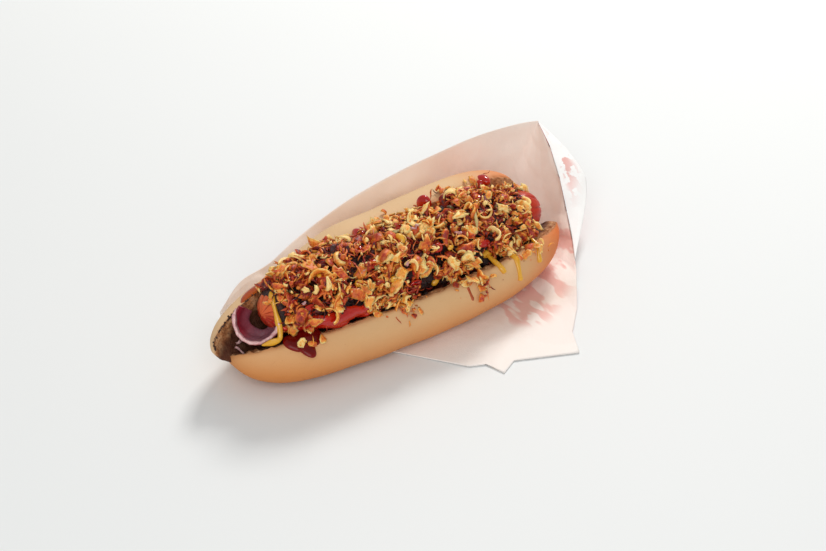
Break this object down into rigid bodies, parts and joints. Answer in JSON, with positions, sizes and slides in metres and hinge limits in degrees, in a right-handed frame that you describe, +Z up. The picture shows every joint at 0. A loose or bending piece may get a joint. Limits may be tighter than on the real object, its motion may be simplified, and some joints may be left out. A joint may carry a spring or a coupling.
{
  "type": "hot dog",
  "caption": "Hot dog in a split bun with a sausage, dark relish, ketchup, mustard, a red onion slice and heaped fried onions, lying in an opened printed paper bag.",
  "frame": {"origin": "bottom centre of the whole box, on the surface that the hot dog lies on", "axes": "+X along the bun, towards the end where the paper bag closes; +Y towards the bun's taller back half; +Z up"},
  "size_m": [0.2298, 0.1286, 0.0558],
  "materials": {
    "bun": "soft pale wheat crust, matt, with a toasted cut face",
    "sausage": "smooth moist orange-red skin",
    "relish": "thick dark brown relish, wet",
    "fried_onions": "crisp golden to brown fried flakes",
    "red_onion": "moist, pale cut edge and purple skin",
    "ketchup": "glossy thick sauce",
    "mustard": "glossy yellow sauce",
    "paper": "thin white greaseproof paper with a red print outside"
  },
  "bodies": {
    "root": {"bun": "bun", "sausage": "sausage", "relish_bed": "relish", "fried_onions": "fried_onions", "red_onion_slice": "red_onion", "ketchup_drop": "ketchup", "ketchup_back_dab": "ketchup", "ketchup_right_dab": "ketchup", "ketchup_pool": "ketchup", "paper_bag": "paper"}
  },
  "joints": []
}
